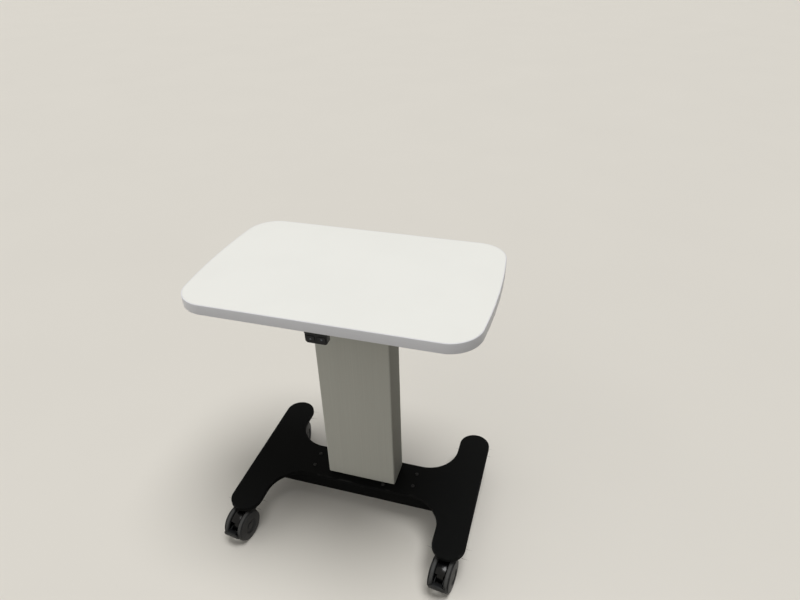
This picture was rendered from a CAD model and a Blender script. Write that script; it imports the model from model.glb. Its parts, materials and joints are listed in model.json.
"""Looks of a height-adjustable instrument table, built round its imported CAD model.

The CAD model gives every place and size. This script rounds the edges that catch the light, turns the
wheels, cuts the screw sockets, prints the key marks and gives each piece a procedural finish.
Sizes in the classes are in millimetres, and the meshes are in metres.
"""

import json
import logging
import math
from collections.abc import Sequence
from dataclasses import dataclass
from enum import Enum
from typing import Any

import bmesh
import bpy
import numpy as np
from mathutils import Matrix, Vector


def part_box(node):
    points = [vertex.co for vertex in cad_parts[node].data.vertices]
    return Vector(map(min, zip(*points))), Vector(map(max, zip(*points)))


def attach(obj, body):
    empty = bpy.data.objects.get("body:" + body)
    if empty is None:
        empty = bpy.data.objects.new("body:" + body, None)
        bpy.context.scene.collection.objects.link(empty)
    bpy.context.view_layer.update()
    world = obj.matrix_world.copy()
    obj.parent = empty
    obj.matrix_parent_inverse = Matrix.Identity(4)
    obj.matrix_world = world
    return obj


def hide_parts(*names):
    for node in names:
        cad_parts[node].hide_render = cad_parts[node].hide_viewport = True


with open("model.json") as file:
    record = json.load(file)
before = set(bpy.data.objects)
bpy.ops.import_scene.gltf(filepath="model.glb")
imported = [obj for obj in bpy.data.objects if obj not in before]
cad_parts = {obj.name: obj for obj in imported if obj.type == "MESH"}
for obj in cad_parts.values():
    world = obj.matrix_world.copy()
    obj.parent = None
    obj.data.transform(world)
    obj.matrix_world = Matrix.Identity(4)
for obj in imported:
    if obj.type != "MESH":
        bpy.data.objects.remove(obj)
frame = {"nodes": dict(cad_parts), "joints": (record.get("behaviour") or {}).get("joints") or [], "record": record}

LOG = logging.getLogger("instrument_table")
MM = 0.001
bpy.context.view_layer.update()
SLOTS = {row["slot"] for row in frame["record"]["materials"]}
WEAR = "wear"

# Points closer than JOIN are one point. Faces that lean less than FLAT are one face, an edge that turns more
# than SHARP is shaded sharp, and one that turns more than EASE_FROM is rounded.
JOIN = 0.002 * MM
FLAT, SHARP, EASE_FROM = (math.radians(angle) for angle in (0.5, 35.0, 40.0))
TURN_STEPS = 96

Triple = tuple[float, float, float]
Colour = Triple
Corner = Triple
Pair = tuple[np.ndarray, np.ndarray]


def tone(red: float, green: float, blue: float) -> Colour:
    """Linear colour of a screen colour given from 0 to 255: a straight line near black, a power above."""
    screen = np.array([red, green, blue]) / 255.0
    linear = np.where(screen <= 0.04045, screen / 12.92, ((screen + 0.055) / 1.055) ** 2.4)
    return tuple(float(part) for part in linear)


class Value:
    """One output of a shader graph. Arithmetic on it adds Math nodes."""

    def __init__(self, graph: "Graph", socket: bpy.types.NodeSocket) -> None:
        """Keep the socket and its graph."""
        self.graph = graph
        self.socket = socket

    def _math(self, operation: str, *terms: "Value | float") -> "Value":
        """Add a Math node that works on the terms, in order."""
        return self.graph.node("ShaderNodeMath", {"operation": operation}, dict(enumerate(terms)))

    def __add__(self, other: "Value | float") -> "Value":
        """Sum."""
        return self._math("ADD", self, other)

    __radd__ = __add__

    def __rsub__(self, other: float) -> "Value":
        """Difference from a number."""
        return self._math("SUBTRACT", other, self)

    def __mul__(self, other: "Value | float") -> "Value":
        """Product."""
        return self._math("MULTIPLY", self, other)

    __rmul__ = __mul__

    def band(self, low: float, high: float) -> "Value":
        """Rise smoothly from 0 at low to 1 at high."""
        return self.graph.node(
            "ShaderNodeMapRange",
            {"interpolation_type": "SMOOTHSTEP"},
            {"Value": self, "From Min": low, "From Max": high},
        )


class Graph:
    """A node graph, with one method that adds any node."""

    def __init__(self, tree: bpy.types.NodeTree) -> None:
        """Keep the tree that the nodes go into."""
        self.tree = tree

    def node(
        self,
        kind: str,
        settings: dict[str, Any] | None = None,
        inputs: dict[str | int, Any] | None = None,
        output: str | int = 0,
    ) -> Value:
        """Add a node, set it up and link it.

        Args:
            kind: The node's type.
            settings: Attributes to set first.
            inputs: Values or links of its sockets, by name or number.
            output: Which output to return.

        Returns:
            The chosen output.
        """
        made = self.tree.nodes.new(kind)
        for key, value in (settings or {}).items():
            setattr(made, key, value)
        for key, value in (inputs or {}).items():
            self.feed(made.inputs[key], value)
        return Value(self, made.outputs[output])

    def feed(self, socket: bpy.types.NodeSocket, value: Any) -> None:
        """Link a value to a socket, or set the socket to a constant."""
        if isinstance(value, Value):
            self.tree.links.new(value.socket, socket)
        elif socket.type == "RGBA":
            socket.default_value = (*value, 1.0)
        else:
            socket.default_value = value

    def place(self) -> Value:
        """Object coordinates, in metres."""
        return self.node("ShaderNodeTexCoord", output="Object")

    def upward(self) -> Value:
        """How far a surface faces up, from -1 to 1."""
        facing = self.node("ShaderNodeTexCoord", output="Normal")
        return self.node("ShaderNodeSeparateXYZ", None, {0: facing}, "Z")

    def worn(self) -> Value:
        """The mesh's own measure of wear, from 0 to 1."""
        return self.node("ShaderNodeAttribute", {"attribute_name": WEAR}, None, "Fac")

    def in_sight(self) -> Value:
        """1 for rays that show a thing, straight or in gloss and glass, and 0 for those that only light."""
        rays = ("Is Camera Ray", "Is Glossy Ray", "Is Transmission Ray")
        camera, gloss, glass = (self.node("ShaderNodeLightPath", output=ray) for ray in rays)
        return camera + gloss + glass

    def noise(self, size: float, detail: float = 2.0, stretch: Triple = (1.0, 1.0, 1.0)) -> Value:
        """Soft noise from 0 to 1.

        Args:
            size: Width of a blotch in millimetres.
            detail: How many finer layers are added.
            stretch: How many times wider the blotches are along each axis.

        Returns:
            The noise.
        """
        scale = tuple(1.0 / part for part in stretch)
        vector = self.node("ShaderNodeMapping", None, {"Vector": self.place(), "Scale": scale})
        return self.node(
            "ShaderNodeTexNoise", None, {"Vector": vector, "Scale": 1.0 / (size * MM), "Detail": detail}
        )

    def specks(self, size: float, share: float) -> Value:
        """Scattered round specks.

        Args:
            size: Distance between specks in millimetres.
            share: How much of that distance a speck takes up.

        Returns:
            1 on a speck and 0 beside it.
        """
        cells = {"Vector": self.place(), "Scale": 1.0 / (size * MM)}
        return 1.0 - self.node("ShaderNodeTexVoronoi", None, cells).band(0.5 * share, share)

    def blend(self, share: Value | float, first: Any, second: Any) -> Value:
        """Mix two colours: the first where share is 0, the second where it is 1."""
        return self.node("ShaderNodeMix", {"data_type": "RGBA"}, {0: share, 6: first, 7: second}, 2)

    def bump(self, height: Value, depth: float) -> Value:
        """Normal of a surface raised by height times depth millimetres."""
        return self.node("ShaderNodeBump", None, {"Height": height, "Distance": depth * MM})


@dataclass(frozen=True)
class Finish:
    """A surface finish, made into a material once.

    Attributes:
        slot: The record's material slot that it stands for.
        colour: Its main colour.
        roughness: Its roughness where it is clean.
    """

    slot: str
    colour: Colour
    roughness: float

    def material(self) -> bpy.types.Material:
        """The finish as a material."""
        name = f"{self.slot}_finish"
        found = bpy.data.materials.get(name)
        if found:
            return found
        made = bpy.data.materials.new(name)
        made.use_nodes = True
        graph = Graph(made.node_tree)
        shader = made.node_tree.nodes["Principled BSDF"]
        for socket, value in self.inputs(graph).items():
            graph.feed(shader.inputs[socket], value)
        return made

    def inputs(self, graph: Graph) -> dict[str, Any]:
        """The shader's inputs, worked out in the graph."""
        raise NotImplementedError

    def dimmed(self, share: float) -> Colour:
        """The main colour times a share."""
        return tuple(share * part for part in self.colour)


@dataclass(frozen=True)
class Laminate(Finish):
    """Pressed laminate or its edge band: even white, wiped often, with a fine sheen.

    Attributes:
        backing: Colour of the sheet on its underside.
        cloudy: Share of the colour that is left where the white looks darkest.
    """

    backing: Colour = tone(222, 222, 225)
    cloudy: float = 0.985

    def inputs(self, graph: Graph) -> dict[str, Any]:
        """Clouded white over its backing, with a few specks, wiping marks in the gloss and a ripple."""
        cloud = graph.noise(140.0, 3.0).band(0.35, 0.7)
        wipes = graph.noise(34.0, 3.0, (4.0, 1.0, 1.0)).band(0.4, 0.8)
        speck = graph.specks(23.0, 0.035)
        white = graph.blend(cloud, self.colour, self.dimmed(self.cloudy))
        base = graph.blend(graph.upward().band(-0.9, -0.6), self.backing, white)
        return {
            "Base Color": graph.blend(speck * 0.1, base, self.dimmed(0.6)),
            "Roughness": self.roughness + 0.05 * wipes + 0.1 * speck,
            "Normal": graph.bump(graph.noise(1.6, 1.0), 0.002),
        }


@dataclass(frozen=True)
class Coat(Finish):
    """A coat or skin that wears.

    Attributes:
        grain: Depth of its grain in millimetres.
        shine: Strength of its mirror reflection, where 0.5 is that of clear plastic.
        rubbed: Colour of its worn places.
    """

    grain: float = 0.012
    shine: float = 0.5
    rubbed: Colour = (0.2, 0.2, 0.2)


@dataclass(frozen=True)
class DustyCoat(Coat):
    """A coat or skin that wears and takes dust.

    Attributes:
        dust: Colour of the dust, and dusty how strongly it shows.
    """

    dust: Colour = (0.3, 0.29, 0.27)
    dusty: float = 0.05


@dataclass(frozen=True)
class DrawnPaint(Coat):
    """Satin paint or oxide on a drawn tube, with the tube's fine lines under it."""

    grain: float = 0.003
    shine: float = 0.06

    def inputs(self, graph: Graph) -> dict[str, Any]:
        """Lines along the tube in colour, gloss and height, and paler rubs near worn rims."""
        lines = graph.noise(1.3, 3.0, (1.0, 1.0, 150.0))
        broad = graph.noise(16.0, 3.0, (1.0, 1.0, 30.0))
        rubs = graph.worn() * graph.noise(5.0, 4.0).band(0.5, 0.7)
        base = graph.blend(0.6 * lines.band(0.3, 0.7) + 0.4 * broad, self.colour, self.dimmed(0.93))
        return {
            "Base Color": graph.blend(rubs * 0.4, base, self.rubbed),
            "Roughness": self.roughness + 0.08 * lines + 0.06 * broad,
            "Normal": graph.bump(lines, self.grain),
            "Specular IOR Level": self.shine,
        }


@dataclass(frozen=True)
class PowderCoat(DustyCoat):
    """Powder coat on metal: fine grain, dust where it faces up, rubbed edges.

    Attributes:
        mottle: Share of the colour that is left where the coat looks darkest.
    """

    mottle: float = 0.86

    def inputs(self, graph: Graph) -> dict[str, Any]:
        """Grained colour, with dust on upper faces and lighter rubs along worn edges."""
        grain = graph.noise(0.9, 2.0)
        cloud = graph.noise(70.0, 4.0)
        lint = graph.noise(9.0, 5.0).band(0.5, 0.8)
        settled = graph.upward().band(0.55, 1.0) * (0.5 * cloud + 0.8 * lint) * self.dusty
        rubs = graph.worn() * graph.noise(7.0, 4.0, (3.0, 3.0, 1.0)).band(0.5, 0.72)
        base = graph.blend(cloud.band(0.3, 0.75), self.colour, self.dimmed(self.mottle))
        return {
            "Base Color": graph.blend(rubs * 0.5, graph.blend(settled, base, self.dust), self.rubbed),
            "Roughness": self.roughness + 0.08 * cloud + 0.15 * lint * graph.upward().band(0.5, 1.0),
            "Normal": graph.bump(grain, self.grain),
            "Specular IOR Level": self.shine,
        }


@dataclass(frozen=True)
class Moulded(DustyCoat):
    """Moulded plastic: a spark-eroded grain or a polish, with finger marks and a little dust.

    Attributes:
        coat: Weight of the glossy skin of a polished mould, and coat_rough its roughness.
    """

    grain: float = 0.008
    dusty: float = 0.06
    rubbed: Colour = (0.05, 0.05, 0.05)
    coat: float = 0.0
    coat_rough: float = 0.08

    def inputs(self, graph: Graph) -> dict[str, Any]:
        """Even colour with dust on upper faces, paler worn places, uneven gloss and a fine grain."""
        marks = graph.noise(11.0, 4.0)
        lint = graph.noise(4.0, 4.0).band(0.5, 0.8)
        settled = graph.upward().band(0.3, 1.0) * lint * self.dusty
        base = graph.blend(marks.band(0.3, 0.7), self.colour, self.dimmed(0.82))
        scuffs = graph.worn() * (0.4 + 0.6 * marks.band(0.35, 0.65))
        return {
            "Base Color": graph.blend(settled, graph.blend(scuffs, base, self.rubbed), self.dust),
            "Roughness": self.roughness - 0.06 + 0.16 * marks + 0.1 * scuffs,
            "Normal": graph.bump(graph.noise(0.55, 2.0), self.grain),
            "Specular IOR Level": self.shine,
            "Coat Weight": self.coat,
            "Coat Roughness": self.coat_rough,
        }


@dataclass(frozen=True)
class Rubber(Finish):
    """Soft grey tyre: a pale, rolled tread between darker shoulders."""

    tread: Colour = (0.1, 0.1, 0.1)

    def inputs(self, graph: Graph) -> dict[str, Any]:
        """Blotched rubber that is paler and rougher where it rolls."""
        blotch = graph.noise(6.0, 5.0)
        rolled = graph.worn() * (0.55 + 0.6 * blotch.band(0.3, 0.75))
        grit = graph.specks(2.6, 0.2) * graph.worn()
        base = graph.blend(blotch.band(0.3, 0.7), self.colour, self.dimmed(0.75))
        return {
            "Base Color": graph.blend(0.35 * grit, graph.blend(rolled, base, self.tread), self.dimmed(0.4)),
            "Roughness": self.roughness + 0.2 * rolled,
            "Normal": graph.bump(graph.noise(0.7, 3.0) + 0.4 * grit, 0.02),
        }


@dataclass(frozen=True)
class Metal(Finish):
    """Bare or plated metal with drawn streaks.

    Attributes:
        streaks: How many times longer the streaks are along each axis.
        tarnish: Share of the colour that is left where the metal has dulled.
    """

    streaks: Triple = (1.0, 1.0, 40.0)
    tarnish: float = 0.7

    def inputs(self, graph: Graph) -> dict[str, Any]:
        """Streaked metal that dulls in patches."""
        streak = graph.noise(0.8, 2.0, self.streaks)
        patch = graph.noise(18.0, 4.0).band(0.45, 0.8)
        return {
            "Base Color": graph.blend(patch, self.colour, self.dimmed(self.tarnish)),
            "Metallic": 1.0 - 0.15 * patch,
            "Roughness": self.roughness + 0.2 * patch + 0.1 * streak,
            "Normal": graph.bump(streak, 0.006),
        }


@dataclass(frozen=True)
class Print(Finish):
    """Pale pad print on a key, slightly broken."""

    def inputs(self, graph: Graph) -> dict[str, Any]:
        """Pale ink with thin spots."""
        thin = graph.noise(0.8, 3.0).band(0.45, 0.8)
        return {
            "Base Color": graph.blend(thin, self.colour, self.dimmed(0.7)),
            "Roughness": self.roughness + 0.1 * thin,
            "Normal": graph.bump(thin, 0.01),
        }


@dataclass(frozen=True)
class Floor(Finish):
    """Pale floor, a little clouded, that throws little light back.

    Attributes:
        bounce: Its colour as it lights the object.
        cloudy: Share of its colour that is left where it looks darkest.
    """

    bounce: Colour = tone(120, 118, 114)
    cloudy: float = 0.96

    def inputs(self, graph: Graph) -> dict[str, Any]:
        """The clouded colour where the floor is in sight, and the darker one for what it lights."""
        pale = graph.blend(graph.noise(600.0, 3.0), self.colour, self.dimmed(self.cloudy))
        return {
            "Base Color": graph.blend(graph.in_sight(), self.bounce, pale),
            "Roughness": self.roughness,
        }


FINISHES: dict[str, Finish] = {
    finish.slot: finish
    for finish in (
        Laminate("laminate_white", tone(236, 236, 231), 0.14, backing=tone(112, 112, 110)),
        Laminate("band_white", tone(222, 222, 225), 0.3),
        PowderCoat("black_steel", tone(9, 10, 10), 0.58, dusty=0.01, rubbed=tone(50, 50, 49), shine=0.05),
        DrawnPaint("column_grey", tone(196, 195, 185), 0.5, rubbed=tone(214, 213, 206)),
        PowderCoat("screw_black", tone(14, 14, 15), 0.36, grain=0.002, rubbed=tone(90, 90, 89), shine=0.3),
        Metal("zinc_steel", tone(198, 199, 198), 0.3),
        DrawnPaint("inner_aluminium", tone(200, 199, 192), 0.34, rubbed=tone(214, 213, 208), shine=0.35),
        Moulded("glide_plastic", tone(226, 222, 206), 0.45, dusty=0.0),
        Metal("cast_alloy", tone(188, 190, 192), 0.5, (1.0, 1.0, 1.0)),
        PowderCoat("motor_steel", tone(66, 67, 70), 0.45),
        Metal("nut_brass", tone(214, 178, 106), 0.32, (1.0, 1.0, 1.0)),
        Moulded("black_plastic", tone(44, 44, 46), 0.5, grain=0.016),
        Moulded("switch_black", tone(10, 11, 13), 0.42, grain=0.01, dusty=0.015, shine=0.25),
        Moulded("button_black", tone(14, 15, 18), 0.36, dusty=0.01, shine=0.25),
        Metal("castor_steel", tone(190, 190, 190), 0.32),
        Moulded("hood_black", tone(8, 8, 9), 0.24, grain=0.002, dusty=0.008, coat=0.15, shine=0.2),
        Moulded(
            "hub_black", tone(26, 27, 29), 0.46, grain=0.012, dusty=0.03, shine=0.4, rubbed=tone(46, 46, 47)
        ),
        Rubber("tyre_grey", tone(38, 39, 40), 0.6, tread=tone(62, 62, 61)),
        Moulded("pedal_grey", tone(15, 16, 18), 0.5, grain=0.014, dusty=0.02, shine=0.3),
        Print("key_print", tone(96, 101, 108), 0.5),
    )
}


def span(node: str) -> Pair:
    """Lowest and highest corner of a CAD node, in millimetres."""
    low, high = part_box(node)
    return np.array(low) / MM, np.array(high) / MM


def middle(node: str) -> np.ndarray:
    """Middle of a CAD node, in millimetres."""
    low, high = span(node)
    return (low + high) / 2


def joint(name: str) -> Pair:
    """Place, in millimetres, and direction of a joint."""
    row = next(row for row in frame["joints"] if row["name"] == name)
    return np.array(row["pos_m"]) / MM, np.array(row["axis"], float)


def circle(angles: np.ndarray) -> np.ndarray:
    """Points of the unit circle at some angles in radians."""
    return np.stack([np.cos(angles), np.sin(angles)], axis=1)


def fillet(corners: Sequence[Corner], closed: bool = False, steps: int = 6) -> np.ndarray:
    """Round the corners of a drawn line.

    A round corner becomes an arc that touches both of its sides: it starts and ends at the radius divided by
    the tangent of half the inner angle from the corner, and its centre lies on the bisector.

    Args:
        corners: The place and radius of each corner.
        closed: Whether the line runs back to its start.
        steps: Steps in each arc.

    Returns:
        The line's points.
    """
    places = np.array(corners)[:, :2]
    line = []
    for index, (place, (_, _, radius)) in enumerate(zip(places, corners)):
        if radius == 0.0 or (not closed and index in (0, len(corners) - 1)):
            line.append(place[None])
            continue
        back, ahead = (side / np.linalg.norm(side) for side in (
            places[index - 1] - place, places[(index + 1) % len(places)] - place
        ))
        half = math.acos(float(back @ ahead)) / 2
        centre = place + (back + ahead) / np.linalg.norm(back + ahead) * radius / math.sin(half)
        start, end = (place + side * radius / math.tan(half) - centre for side in (back, ahead))
        first = math.atan2(start[1], start[0])
        turn = (math.atan2(end[1], end[0]) - first + math.pi) % (2 * math.pi) - math.pi
        angles = first + turn * np.linspace(0.0, 1.0, steps + 1)
        line.append(centre + radius * circle(angles))
    return np.concatenate(line)


@dataclass(frozen=True)
class Arc:
    """A round stretch of an outline, in millimetres and degrees.

    Attributes:
        hollow: Whether its centre lies outside the piece.
    """

    centre: tuple[float, float]
    radius: float
    start: float
    end: float
    hollow: bool = False

    def trace(self, step: float) -> Pair:
        """Points along the arc, at most step degrees apart, and their outward normals."""
        count = max(3, math.ceil(abs(self.end - self.start) / step) + 1)
        outward = circle(np.radians(np.linspace(self.start, self.end, count)))
        return np.array(self.centre) + self.radius * outward, -outward if self.hollow else outward


def outline_of(half: Sequence[Arc], step: float, centre: np.ndarray) -> Pair:
    """Join some arcs and their copy turned half round by straight lines.

    Args:
        half: The arcs, about the origin.
        step: Degrees between points, at most.
        centre: Where the outline's middle goes.

    Returns:
        The outline's points and outward normals.
    """
    points, normals = (np.concatenate(part) for part in zip(*(arc.trace(step) for arc in half)))
    return np.concatenate([points, -points]) + centre, np.concatenate([normals, -normals])


def round_box(width: float, depth: float, radius: float, step: float, centre: np.ndarray) -> Pair:
    """Outline of a rectangle about a centre with round corners."""
    x, y = width / 2 - radius, depth / 2 - radius
    return outline_of([Arc((x, y), radius, 0.0, 90.0), Arc((-x, y), radius, 90.0, 180.0)], step, centre)


def carried(profile: np.ndarray, outline: Pair) -> np.ndarray:
    """Carry a profile round an outline.

    Each point is the outline's point, moved out along its normal by the profile's first number and up to its
    second.
    """
    points, normals = outline
    flat = points[:, None, :] + normals[:, None, :] * profile[None, :, :1]
    height = np.broadcast_to(profile[None, :, 1:], (*flat.shape[:2], 1))
    return np.concatenate([flat, height], axis=2)


def turned(profile: np.ndarray, centre: np.ndarray, axis: np.ndarray) -> np.ndarray:
    """Turn a profile about an axis.

    Each point is the centre, plus the profile's second number along the axis, plus its first number along a
    direction that turns evenly round the axis.
    """
    side = np.cross(axis, (0.0, 1.0, 0.0) if abs(axis[2]) > 0.5 else (0.0, 0.0, 1.0))
    side /= np.linalg.norm(side)
    angles = np.linspace(0.0, 2 * math.pi, TURN_STEPS, endpoint=False)[:, None, None]
    around = np.cos(angles) * side + np.sin(angles) * np.cross(axis, side)
    return centre + profile[None, :, 1:] * axis + profile[None, :, :1] * around


@dataclass
class Patch:
    """A grid of points in millimetres, closed round its rows, and how its columns end.

    Attributes:
        points: The points, by row, column and coordinate.
        looped: Whether the last column joins the first.
        capped: Whether a flat face closes the first and the last column.
        wear: Wear of each column, from 0 to 1.
    """

    points: np.ndarray
    looped: bool = False
    capped: bool = False
    wear: np.ndarray | None = None

    def faces(self, start: int) -> list[list[int]]:
        """The grid's faces, with its points numbered from start."""
        rows, columns = self.points.shape[:2]
        row, column = np.meshgrid(
            np.arange(rows), np.arange(columns if self.looped else columns - 1), indexing="ij"
        )
        after, beside = (row + 1) % rows, (column + 1) % columns
        corners = ((row, column), (after, column), (after, beside), (row, beside))
        quads = np.stack([start + r * columns + c for r, c in corners], axis=-1).reshape(-1, 4).tolist()
        if self.capped:
            edge = start + np.arange(rows) * columns
            quads += [edge.tolist(), (edge + columns - 1).tolist()]
        return quads

    def worn(self) -> np.ndarray:
        """Wear of each point."""
        rows, columns = self.points.shape[:2]
        return np.tile(np.zeros(columns) if self.wear is None else self.wear, rows)


def sew(mesh: bpy.types.Mesh, merge: bool) -> None:
    """Close a mesh's seams and poles, smooth it, and merge its flat faces or else point them outwards."""
    work = bmesh.new()
    work.from_mesh(mesh)
    bmesh.ops.remove_doubles(work, verts=work.verts, dist=JOIN)
    if merge:
        bmesh.ops.dissolve_limit(work, angle_limit=FLAT, verts=work.verts, edges=work.edges)
    else:
        bmesh.ops.recalc_face_normals(work, faces=work.faces)
    work.to_mesh(mesh)
    work.free()
    mesh.shade_smooth()


def shown(name: str, data: bpy.types.ID) -> bpy.types.Object:
    """Put a mesh, lamp or camera into the scene as an object at the origin."""
    made = bpy.data.objects.new(name, data)
    bpy.context.scene.collection.objects.link(made)
    return made


def aim(piece: bpy.types.Object, axes: Sequence[np.ndarray], place: Sequence[float]) -> None:
    """Give an object its axes, which are its right, its up and its back, and its place in metres."""
    matrix = np.eye(4)
    matrix[:3, :3] = np.stack(axes, axis=1)
    matrix[:3, 3] = place
    piece.matrix_world = Matrix(matrix.tolist())


def build(name: str, *patches: Patch) -> bpy.types.Object:
    """Make one object of some patches.

    Args:
        name: The piece's name.
        patches: Its surfaces.

    Returns:
        The object, with the wear as an attribute of its points.
    """
    starts = np.cumsum([0] + [patch.worn().size for patch in patches])
    points = np.concatenate([patch.points.reshape(-1, 3) for patch in patches])
    faces = [face for patch, start in zip(patches, starts) for face in patch.faces(int(start))]
    mesh = bpy.data.meshes.new(name)
    mesh.from_pydata((points * MM).tolist(), [], faces)
    wear = mesh.attributes.new(WEAR, "FLOAT", "POINT")
    wear.data.foreach_set("value", np.concatenate([patch.worn() for patch in patches]).astype(np.float32))
    sew(mesh, merge=False)
    mesh.set_sharp_from_angle(angle=SHARP)
    return shown(name, mesh)


def dress(piece: bpy.types.Object, body: str, slot: str, *nodes: str) -> None:
    """Give a piece its finish and its body.

    Args:
        piece: The piece.
        body: The CAD body that it rides on.
        slot: The slot of its finish.
        nodes: The CAD nodes that it stands for.
    """
    piece.data.materials.append(FINISHES[slot].material())
    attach(piece, body)
    if nodes:
        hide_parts(*nodes)
    slot in SLOTS
    LOG.info("%s rides on %s, finish %s, for %s", piece.name, body, slot, ", ".join(nodes) or "no node")


def ease(node: str, body: str, slot: str, edge: float, segments: int = 3) -> None:
    """Copy a CAD node, join the copy's triangles into faces, round its edges and let it stand for the node.

    Args:
        node: The CAD node.
        body: The CAD body that it rides on.
        slot: The slot of its finish.
        edge: Width of the rounding in millimetres.
        segments: Steps in the rounding.
    """
    mesh = frame["nodes"][node].data.copy()
    mesh.materials.clear()
    sew(mesh, merge=True)
    made = shown(f"{node}_eased", mesh)
    bevel = made.modifiers.new("edges", "BEVEL")
    bevel.width = edge * MM
    bevel.segments = segments
    bevel.limit_method = "ANGLE"
    bevel.angle_limit = EASE_FROM
    bevel.use_clamp_overlap = False
    bevel.harden_normals = True
    dress(made, body, slot, node)


def slab_profile(low: float, high: float, edge: float, soft: float) -> Pair:
    """Open profile of a slab with round edges, and its wear.

    The line runs out along the underside, round the lower edge, up the side, round the upper edge and in.
    Wear is 1 on the round edges and falls to 0 at the distance soft from them.
    """
    lower = fillet([(-soft, low, 0.0), (0.0, low, edge), (0.0, low + soft, 0.0)])
    upper = fillet([(0.0, high - soft, 0.0), (0.0, high, edge), (-soft, high, 0.0)])
    line = np.concatenate([[(-2 * soft, low)], lower, upper, [(-2 * soft, high)]])
    rub = np.concatenate([[0.0], np.ones(len(lower) - 2), [0.0]])
    return line, np.concatenate([[0.0], rub, rub, [0.0]])


@dataclass(frozen=True)
class ScrewHead:
    """A round screw head with a six-sided socket.

    Attributes:
        flats: Width of the socket across its flats.
        lead: Width of the socket's bevelled rim.
        land: Width of the flat ring inside the crown's edge.
        crown: Radius of the crown's edge.
        foot: Radius of the edge above the seat.
        foot_share: Share of the height at which that edge lies.
        steps: Points round the head, a multiple of six.
    """

    seat_d: float = 9.0
    top_d: float = 6.4
    height: float = 2.6
    flats: float = 3.0
    socket_depth: float = 1.7
    lead: float = 0.15
    land: float = 0.4
    crown: float = 0.9
    foot: float = 0.5
    foot_share: float = 0.22
    steps: int = 72

    def patch(self, place: np.ndarray, up: float) -> Patch:
        """The head's surface.

        The rings run from the middle of the socket's floor up its walls and over the rim and the crown to the
        seat. A socket ring's radius is half the width across flats, divided by the cosine of the angle to the
        middle of the nearest flat. The other rings are round.

        Args:
            place: Middle of the seat.
            up: 1 if the head looks up, -1 if it looks down.

        Returns:
            The surface.
        """
        angles = np.linspace(0.0, 2 * math.pi, self.steps, endpoint=False)
        flat = (angles + math.pi / 6) % (math.pi / 3) - math.pi / 6
        socket = self.flats / 2 / np.cos(flat)
        floor = self.height - self.socket_depth
        top, seat = self.top_d / 2, self.seat_d / 2
        crown = fillet([
            (top - self.land, self.height, 0.0), (top, self.height, self.crown),
            (seat, self.height * self.foot_share, self.foot), (seat, 0.0, 0.0),
        ])
        axis = np.zeros_like(socket)
        rings = [
            (axis, floor), (socket, floor), (socket, self.height - self.lead),
            (socket + self.lead, self.height), *((axis + radius, height) for radius, height in crown),
            (axis, 0.0),
        ]
        radius = np.stack([ring[0] for ring in rings], axis=1)
        height = np.broadcast_to([ring[1] for ring in rings], radius.shape)
        flat = circle(angles)[:, None, :] * radius[..., None]
        return Patch(place + np.concatenate([flat, up * height[..., None]], axis=2))


@dataclass
class Top:
    """The edge band of the white top, whose short ends bow out.

    Attributes:
        arris: Radius of the band's edges.
        seam: Width and depth of the seam next to the board.
    """

    width: float = 600.0
    depth: float = 375.0
    bow: float = 14.0
    corner: float = 64.0
    band: float = 2.0
    arris: float = 1.1
    seam: float = 0.18

    def outline(self) -> Pair:
        """Outline of the top: two bowed ends, four corners that touch them and two straight sides."""
        radius = ((self.depth / 2) ** 2 + self.bow ** 2) / (2 * self.bow)
        away = self.width / 2 - radius
        y = self.depth / 2 - self.corner
        x = away + math.sqrt((radius - self.corner) ** 2 - y ** 2)
        lean = math.degrees(math.atan2(y, x - away))
        arcs = [
            Arc((away, 0.0), radius, -lean, lean),
            Arc((x, y), self.corner, lean, 90.0),
            Arc((-x, y), self.corner, 90.0, 180.0 - lean),
        ]
        return outline_of(arcs, 2.0, middle("edge_band")[:2])

    def build(self) -> None:
        """Make the edge band, with a round arris above and below and a fine seam next to the board."""
        low, high = span("edge_band")
        profile = fillet([
            (-self.band, low[2], 0.0), (0.0, low[2], self.arris), (0.0, high[2], self.arris),
            (-self.band + self.seam, high[2], 0.0), (-self.band, high[2] - self.seam, 0.0),
        ])
        band = Patch(carried(profile, self.outline()), looped=True)
        dress(build("edge_band_round", band), "lift", "band_white", "edge_band")


@dataclass
class Column:
    """The telescopic lifting column.

    Attributes:
        edge: Radius of the outer tube's rims.
        soft: Distance from a rim at which wear ends.
    """

    width: float = 170.0
    depth: float = 68.0
    corner: float = 4.0
    wall: float = 3.0
    edge: float = 0.8
    soft: float = 9.0

    def tube(self) -> Patch:
        """The outer tube with round rims, worn at both rims and not at the distance soft from them."""
        low, high = span("column_outer")
        bottom, top = low[2], high[2]
        profile = fillet([
            (0.0, bottom, self.edge), (0.0, bottom + self.soft, 0.0), (0.0, top - self.soft, 0.0),
            (0.0, top, self.edge), (-self.wall, top, self.edge), (-self.wall, bottom, self.edge),
        ], closed=True, steps=4)
        from_rim = np.minimum(profile[:, 1] - bottom, top - profile[:, 1])
        wear = (from_rim < self.soft / 2) * (profile[:, 0] > -self.wall / 2)
        outline = round_box(self.width, self.depth, self.corner, 15.0, middle("column_outer")[:2])
        return Patch(carried(profile, outline), looped=True, wear=wear.astype(float))

    def build(self) -> None:
        """Make the outer tube and ease the inner tube."""
        dress(build("column_tube", self.tube()), "lift", "column_grey", "column_outer")
        ease("column_inner", "base", "inner_aluminium", 0.5, 2)


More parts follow.
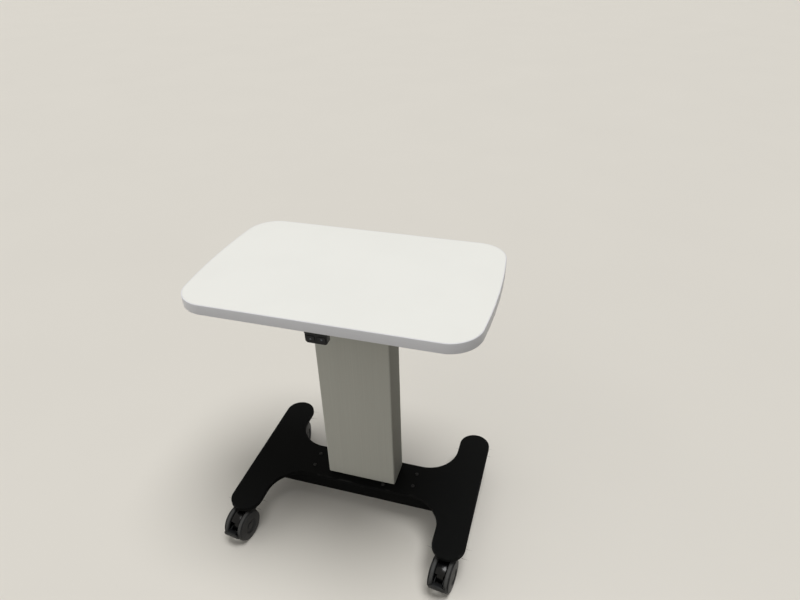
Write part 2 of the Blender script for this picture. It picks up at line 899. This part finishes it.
@dataclass
class HandSwitch:
    """The hand switch under the front edge, with an up and a down key.

    Attributes:
        key_edge: Depth and width of a key's round front edge.
        edge_share: Share of them at which the edge's middle ring lies.
        dish: How far a key's front sinks in the middle.
        dish_from: Scale of the outermost ring of the dish.
        mark_t: How far a mark stands out of its key, and into it.
    """

    key_w: float = 16.0
    key_h: float = 12.0
    key_corner: float = 2.5
    key_edge: float = 0.5
    edge_share: float = 0.3
    dish: float = 0.3
    dish_from: float = 0.9
    rings: int = 9
    mark_w: float = 4.6
    mark_h: float = 3.6
    mark_corner: float = 0.4
    mark_t: float = 0.1

    def rings_of(self, node: str, line: np.ndarray, scale: np.ndarray, depth: np.ndarray) -> np.ndarray:
        """Rings of a line in the plane of the front, scaled about a node's middle, each at its own depth."""
        across = line[:, None, :] * scale[:, None] + middle(node)[[0, 2]]
        depths = np.broadcast_to(depth, across.shape[:2])
        return np.stack([across[..., 0], depths, across[..., 1]], axis=2)

    def key(self, node: str) -> Patch:
        """A key with a dished front.

        Each ring is the key's outline scaled about its middle. The rings run forward along the sides, round
        the front edge and in over the front, which sinks by the dish times one minus the scale squared.
        """
        low, high = span(node)
        points, _ = round_box(self.key_w, self.key_h, self.key_corner, 10.0, np.zeros(2))
        rim = 1.0 - self.key_edge / (self.key_h / 2)
        edge = 1.0 - (1.0 - rim) * np.array([self.edge_share, 1.0])
        scale = np.concatenate([[0.0, 1.0, 1.0], edge, np.linspace(self.dish_from, 0.0, self.rings)])
        front = low[1] + self.dish * (1.0 - scale ** 2)
        front[:4] = [high[1], high[1], low[1] + self.key_edge, low[1] + self.edge_share * self.key_edge]
        return Patch(self.rings_of(node, points, scale, front))

    def mark(self, node: str, up: float) -> Patch:
        """A triangle with round corners, as thick as a coat of ink, on the key's front."""
        half, rise = self.mark_w / 2, up * self.mark_h / 2
        corners = ((-half, -rise), (half, -rise), (0.0, rise))
        line = fillet([(*corner, self.mark_corner) for corner in corners], closed=True)
        depth = span(node)[0][1] + self.dish + np.array([self.mark_t, -self.mark_t])
        return Patch(self.rings_of(node, line, np.ones(2), depth), capped=True)

    def build(self) -> None:
        """Ease the housing and make the two keys with their marks."""
        ease("switch_housing", "lift", "switch_black", 0.7)
        for node, body, up in (("up_button", "up_key", 1.0), ("down_button", "down_key", -1.0)):
            dress(build(f"{node}_dished", self.key(node)), body, "button_black", node)
            dress(build(f"{node}_mark", self.mark(node, up)), body, "key_print")


@dataclass
class Underside:
    """What hangs under the top: bracket, control box and the screws that hold them.

    The bracket's screws lie at screw_x and screw_y from its middle, and the box's at ear_x and ear_y.
    """

    screw_x: float = 142.0
    screw_y: float = 82.0
    ear_x: float = 39.5
    ear_y: float = 90.5
    head: ScrewHead = ScrewHead(top_d=7.0, height=3.0)

    def screws(self) -> list[Patch]:
        """Heads of the screws: six in the bracket, one in each ear of the control box."""
        seat = span("top_bracket")[0][2]
        column, box = (np.array([*middle(node)[:2], seat]) for node in ("top_bracket", "control_box"))
        bracket = [(x, y) for x in (-self.screw_x, 0.0, self.screw_x) for y in (-self.screw_y, self.screw_y)]
        ears = [(x, y) for x in (-self.ear_x, self.ear_x) for y in (-self.ear_y, self.ear_y)]
        places = [column + (*spot, 0.0) for spot in bracket] + [box + (*spot, 0.0) for spot in ears]
        return [self.head.patch(place, -1.0) for place in places]

    def build(self) -> None:
        """Ease the bracket, the control box and its inlet, and make the screw heads."""
        ease("top_bracket", "lift", "black_steel", 0.6, 2)
        ease("control_box", "lift", "black_plastic", 1.2)
        ease("mains_inlet", "lift", "black_plastic", 0.4, 2)
        dress(build("board_screw_heads", *self.screws()), "lift", "screw_black", "board_screws")


@dataclass
class Base:
    """The H-shaped base plate with its beam and screws.

    Places are from the middle of the plate.

    Attributes:
        leg_half: Half the width of a leg, and the radius of its ends.
        leg_end: Place of the centre of a leg's round end.
        cross_half: Half the width of the middle part.
        soft: Width of the rubbed strip along the edges.
    """

    leg_x: float = 247.0
    leg_half: float = 37.5
    leg_end: float = 152.5
    cross_half: float = 47.0
    fillet: float = 75.0
    edge: float = 1.2
    soft: float = 4.0
    screw_x: float = 128.0
    screw_y: float = 19.0
    front_screw: tuple[float, float] = (57.0, -33.5)

    def outline(self) -> Pair:
        """Outline of the plate: two legs with round ends, joined through four hollow fillets."""
        inner = self.leg_x - self.leg_half - self.fillet
        turn = self.cross_half + self.fillet
        arcs = [
            Arc((self.leg_x, -self.leg_end), self.leg_half, 180.0, 360.0),
            Arc((self.leg_x, self.leg_end), self.leg_half, 0.0, 180.0),
            Arc((inner, turn), self.fillet, 0.0, -90.0, True),
            Arc((-inner, turn), self.fillet, -90.0, -180.0, True),
        ]
        return outline_of(arcs, 4.0, self.middle()[:2])

    def middle(self) -> np.ndarray:
        """Middle of the plate's upper face."""
        return np.array([*middle("base_plate")[:2], span("base_plate")[1][2]])

    def screws(self) -> list[Patch]:
        """Heads of the screws that hold the beam."""
        spots = [(x, y) for x in (-self.screw_x, self.screw_x) for y in (-self.screw_y, self.screw_y)]
        return [ScrewHead().patch(self.middle() + (*spot, 0.0), 1.0) for spot in (*spots, self.front_screw)]

    def build(self) -> None:
        """Make the plate and the screw heads, and ease the beam and its caps."""
        low, high = span("base_plate")
        profile, wear = slab_profile(low[2], high[2], self.edge, self.soft)
        plate = Patch(carried(profile, self.outline()), capped=True, wear=wear)
        dress(build("base_plate_round", plate), "base", "black_steel", "base_plate")
        dress(build("base_screw_heads", *self.screws()), "base", "screw_black", "base_screws")
        ease("cross_beam", "base", "black_steel", 1.2)
        ease("beam_caps", "base", "black_plastic", 0.8, 2)


class Place(Enum):
    """The four castors, and whether each has a brake."""

    FL = ("fl", True)
    FR = ("fr", True)
    RL = ("rl", False)
    RR = ("rr", False)


class Side(Enum):
    """The two wheels of a castor: name and direction along the axle."""

    LEFT = ("l", -1.0)
    RIGHT = ("r", 1.0)


@dataclass
class Castor:
    """A twin-wheel castor.

    Radii are from the axle, and places along it from the middle of the castor.

    Attributes:
        rim_r: Radius of the tyre's seat.
        tread_deep: How far below the tread wear begins. It grows to full wear over tread_soft.
        seat: Gap between tyre and hub.
        lip_drop: How far below the dome the wall of the dish ends, in a lip of the width lip_w.
        foot_round: Radius at the cap's foot and at the lip.
        edge: Radius of the edges that have no size of their own.
        ring_w: Width of the scuffed ring on the cover, which fades over ring_soft.
    """

    place: Place
    tyre_r: float = 37.5
    rim_r: float = 32.5
    tyre_in: float = 12.5
    tyre_out: float = 22.1
    shoulder: float = 4.0
    tread_deep: float = 1.6
    tread_soft: float = 1.2
    seat: float = 0.3
    cover_r: float = 35.5
    cover_t: float = 1.2
    cover_gap: float = 1.0
    cover_rise: float = 2.6
    dish_r: float = 16.0
    dish: float = 3.8
    dish_round: float = 1.2
    lip_drop: float = 0.8
    lip_w: float = 1.0
    cap_r: float = 9.0
    cap_h: float = 1.6
    cap_crown: float = 0.3
    cap_round: float = 0.7
    foot_round: float = 0.5
    boss_r: float = 8.5
    boss_in: float = 11.8
    bore_r: float = 4.05
    web: float = 2.5
    rim_t: float = 4.0
    edge: float = 0.3
    ring_w: float = 5.0
    ring_soft: float = 2.0
    dome_steps: int = 12
    bead_steps: int = 9

    def tyre(self) -> Pair:
        """Half section of a tyre, and its wear, which is 1 on the tread."""
        line = fillet([
            (self.rim_r, self.tyre_in, self.edge), (self.tyre_r, self.tyre_in, self.shoulder),
            (self.tyre_r, self.tyre_out, self.shoulder), (self.rim_r, self.tyre_out, self.edge),
        ], closed=True, steps=8)
        rolled = np.clip((line[:, 0] - self.tyre_r + self.tread_deep) / self.tread_soft, 0.0, 1.0)
        return line, rolled

    def hub(self) -> Pair:
        """Half section of a hub, and its wear, which is 1 on the cover's outer ring.

        The section runs over the cap, dish, domed cover, rim, web and bearing boss. The dome is part of a
        ball: its height falls from the top by the ball's radius, less the root of that radius squared less
        the distance from the axle squared.
        """
        inner = self.tyre_out + self.cover_gap
        edge = inner + self.cover_t
        top = edge + self.cover_rise
        floor = top - self.dish
        back = floor - self.web
        rim = self.rim_r - self.seat
        flank = self.cover_r - self.cover_t / 2
        ball = (flank ** 2 + self.cover_rise ** 2) / (2 * self.cover_rise)
        lip = self.dish_r + self.dish - self.lip_drop
        radius = np.linspace(lip + self.lip_w, flank, self.dome_steps)
        dome = np.stack([radius, top - ball + np.sqrt(ball ** 2 - radius ** 2)], axis=1)
        face = fillet([
            (0.0, floor + self.cap_h + self.cap_crown, 0.0), (self.cap_r, floor + self.cap_h, self.cap_round),
            (self.cap_r, floor, self.foot_round), (self.dish_r, floor, self.dish_round),
            (lip, floor + lip - self.dish_r, self.foot_round), (*dome[0], 0.0),
        ])
        turn = np.linspace(math.pi / 2, -math.pi / 2, self.bead_steps)
        bead = np.array([flank, (inner + edge) / 2]) + circle(turn) * self.cover_t / 2
        hollow, rear_edge = rim - self.rim_t, self.tyre_in + self.seat
        rear = fillet([
            (rim, inner, 0.0), (rim, rear_edge, self.edge), (hollow, rear_edge, self.edge),
            (hollow, back, 0.0), (self.boss_r, back, 0.0), (self.boss_r, self.boss_in, self.edge),
            (self.bore_r, self.boss_in, 0.0), (self.bore_r, back, 0.0), (0.0, back, 0.0),
        ])
        line = np.concatenate([face, dome[1:-1], bead, rear])
        ring = np.clip((line[:, 0] - self.cover_r + self.ring_w) / self.ring_soft, 0.0, 1.0)
        return line, ring * (line[:, 1] > inner)

    def wheel(self, side: Side) -> None:
        """Turn the tyre and the hub of one wheel."""
        key, (hand, outward) = self.place.value[0], side.value
        centre, axis = joint(f"{key}_wheel_{hand}_spin")
        body = f"wheel_{key}_{hand}"
        for part, slot, looped, (section, wear) in (
            (f"castor_{key}_tyre_{hand}", "tyre_grey", True, self.tyre()),
            (f"castor_{key}_hub_{hand}", "hub_black", False, self.hub()),
        ):
            patch = Patch(turned(section, centre, outward * axis), looped=looped, wear=wear)
            dress(build(f"{part}_turned", patch), body, slot, part)

    def build(self) -> None:
        """Ease the hood, stem, axle and pedal, and make both wheels."""
        key, braked = self.place.value
        pieces = [
            ("hood", f"swivel_{key}", "hood_black", 1.0), ("stem", "base", "castor_steel", 0.5),
            ("axle", f"swivel_{key}", "castor_steel", 0.5),
        ]
        if braked:
            pieces += [("pedal", f"pedal_{key}", "pedal_grey", 0.8)]
        for part, body, slot, edge in pieces:
            ease(f"castor_{key}_{part}", body, slot, edge)
        for side in Side:
            self.wheel(side)


@dataclass
class Studio:
    """Floor, light and camera.

    Attributes:
        focal: Focal length in pixels of the photograph, which is width pixels wide.
        eye: Place of the camera from the middle of the base plate's upper face, in metres.
        yaw: Turn of the view to the left, in radians, as are pitch, which is down, and roll.
        floor_colour: Colour of the floor, and of the surround on the left.
        surround_colour: Colour of the surround on the right.
        floor_near: Radius of the floor's innermost ring, and floor_far that of its outermost.
        front_from: Where the light from the front comes from, across and along.
        key_spread: Width of the light overhead in degrees.
        key_from: Where it comes from.
    """

    focal: float = 605.482
    width: float = 800.0
    eye: Triple = (0.407484, -0.97775, 1.164144)
    yaw: float = 0.302708
    pitch: float = 0.56326
    roll: float = 0.026172
    sensor: float = 36.0
    floor_colour: Colour = tone(218, 214, 206)
    surround_colour: Colour = tone(196, 193, 186)
    floor_near: float = 800.0
    floor_far: float = 40000.0
    floor_steps: int = 64
    floor_rings: int = 12
    left_light: Colour = tone(132, 132, 130)
    right_light: Colour = tone(12, 12, 12)
    rear_light: Colour = tone(150, 150, 148)
    front_light: Colour = tone(250, 249, 246)
    front_from: tuple[float, float] = (-0.65, -0.8)
    key_energy: float = 2.27
    key_spread: float = 30.0
    key_from: Triple = (0.196, -0.02, 0.98)

    def camera(self, target: np.ndarray) -> None:
        """Set the camera up at the photograph's viewpoint.

        Args:
            target: Middle of the base plate's upper face, in millimetres.
        """
        right = np.array([math.cos(self.yaw), math.sin(self.yaw), 0.0])
        level = np.array([-right[1], right[0], 0.0])
        ahead = math.cos(self.pitch) * level - math.sin(self.pitch) * np.array([0.0, 0.0, 1.0])
        down = np.cross(ahead, right)
        turned_right = math.cos(self.roll) * right + math.sin(self.roll) * down
        turned_up = math.sin(self.roll) * right - math.cos(self.roll) * down
        data = bpy.data.cameras.new("camera")
        data.sensor_width = self.sensor
        data.lens = self.focal * self.sensor / self.width
        made = shown("camera", data)
        aim(made, (turned_right, turned_up, -ahead), target * MM + np.array(self.eye))
        bpy.context.scene.camera = made

    def floor(self) -> None:
        """Lay a round floor of rings whose radius grows by a constant factor."""
        angles = np.linspace(0.0, 2 * math.pi, self.floor_steps, endpoint=False)
        radius = np.concatenate([[0.0], np.geomspace(self.floor_near, self.floor_far, self.floor_rings)])
        flat = circle(angles)[:, None, :] * radius[:, None]
        made = build("floor", Patch(np.concatenate([flat, np.zeros_like(flat[..., :1])], axis=2)))
        made.data.materials.append(Floor("floor_pale", self.floor_colour, 0.5).material())

    def overhead(self) -> None:
        """Hang a wide, even light overhead, a little to the right."""
        key = bpy.data.lights.new("key", "SUN")
        key.energy = self.key_energy
        key.angle = math.radians(self.key_spread)
        back = np.array(self.key_from)
        side = np.cross((0.0, 1.0, 0.0), back)
        side /= np.linalg.norm(side)
        aim(shown("key", key), (side, np.cross(back, side), back), (0.0, 0.0, 0.0))

    def world(self) -> None:
        """Light the room from all round, most from the front on the left and least from the right.

        What is in sight is an even, pale surround.
        """
        world = bpy.data.worlds.new("room")
        world.use_nodes = True
        bpy.context.scene.world = world
        graph = Graph(world.node_tree)
        direction = graph.node("ShaderNodeTexCoord", output="Generated")
        x, y = (graph.node("ShaderNodeSeparateXYZ", None, {0: direction}, axis) for axis in "XY")
        rightward = x.band(-0.7, 0.7)
        sides = graph.blend(rightward, self.left_light, self.right_light)
        behind = graph.blend(y.band(0.4, 1.0), sides, self.rear_light)
        frontward = self.front_from[0] * x + self.front_from[1] * y
        light = graph.blend(frontward.band(0.15, 0.85), behind, self.front_light)
        surround = graph.blend(rightward, self.floor_colour, self.surround_colour)
        background = world.node_tree.nodes["Background"]
        graph.feed(background.inputs["Color"], graph.blend(graph.in_sight(), light, surround))
        graph.feed(background.inputs["Strength"], 1.0)

    def build(self) -> None:
        """Set up the whole studio."""
        bpy.context.scene.view_settings.view_transform = "Standard"
        self.camera(Base().middle())
        self.floor()
        self.world()
        self.overhead()


def finish_nodes() -> None:
    """Give every CAD node the finish of its material slot."""
    for row in frame["record"]["subparts"]:
        mesh = frame["nodes"][row["node"]].data
        mesh.materials.clear()
        mesh.materials.append(FINISHES[row["material_slot"]].material())


def main() -> None:
    """Build the studio and each sub-assembly, then note the object's box before and after."""
    logging.basicConfig(level=logging.INFO, format="%(message)s")
    Studio().build()
    finish_nodes()
    for assembly in (Top(), Column(), HandSwitch(), Underside(), Base(), *(Castor(place) for place in Place)):
        assembly.build()


if __name__ == "__main__":
    main()
